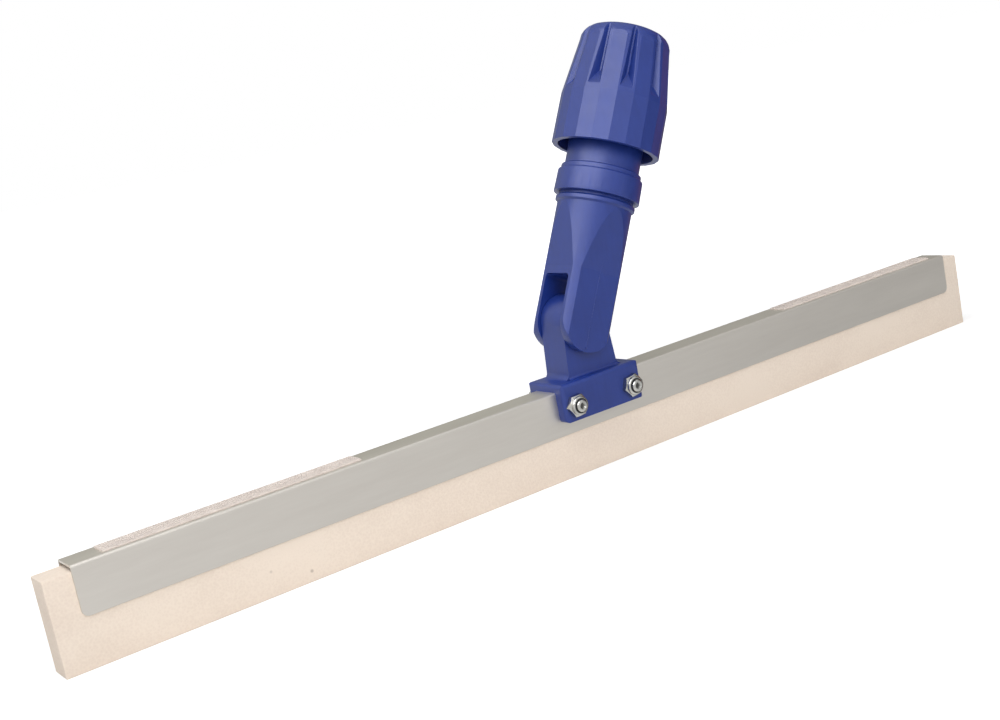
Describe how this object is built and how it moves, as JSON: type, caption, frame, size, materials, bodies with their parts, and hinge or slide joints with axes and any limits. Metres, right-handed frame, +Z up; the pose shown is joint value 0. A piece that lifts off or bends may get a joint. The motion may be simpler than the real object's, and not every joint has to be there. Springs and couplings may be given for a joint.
{
  "type": "floor squeegee head",
  "caption": "Floor squeegee head with a foam-rubber blade in a folded metal channel and a swivelling plastic pole socket with a fluted clamp nut.",
  "frame": {"origin": "middle of the foam blade's floor edge, on the floor", "axes": "+X along the head to the end that the socket leans to, +Y to the back, away from the lock nuts, +Z up"},
  "size_m": [0.55, 0.053, 0.2089],
  "materials": {
    "foam": "cream cellular foam rubber, matt",
    "sheet": "zinc-plated sheet, satin grey",
    "hook_tape": "off-white hook-and-loop tape",
    "blue_plastic": "moulded, satin",
    "zinc_steel": "bright zinc plate",
    "nylon": "dark nylon"
  },
  "bodies": {
    "head": {"foam_blade": "foam", "channel": "sheet", "hook_strip_left": "hook_tape", "hook_strip_right": "hook_tape", "bracket": "blue_plastic", "bolt_left": "zinc_steel", "bolt_right": "zinc_steel", "bolt_washer_left": "zinc_steel", "bolt_washer_right": "zinc_steel", "lock_nut_left": "zinc_steel", "lock_nut_right": "zinc_steel", "nylon_ring_left": "nylon", "nylon_ring_right": "nylon"},
    "socket": {"socket_body": "blue_plastic", "pivot_pin": "zinc_steel", "neck_sleeve": "blue_plastic"},
    "ring": {"clamp_ring": "blue_plastic"},
    "nut": {"clamp_nut": "blue_plastic"}
  },
  "joints": [
    {"name": "socket_swivel", "type": "hinge", "parent": "head", "child": "socket", "pos_m": [0, 0, 0.0722], "axis": [0, 1, 0], "range_deg": [-111.4, 58.6]},
    {"name": "clamp_travel", "type": "slide", "parent": "socket", "child": "ring", "axis": [0.4446, 0, 0.8957], "range_m": [-0.0061, 0.0021]},
    {"name": "clamp_turn", "type": "hinge", "parent": "ring", "child": "nut", "pos_m": [0, 0, 0.0722], "axis": [0.4446, 0, 0.8957], "range_deg": [-540, 180]}
  ],
  "couplings": [
    {"joint": "clamp_travel", "follows": "clamp_turn", "m_per_rad": 0.00063662}
  ]
}
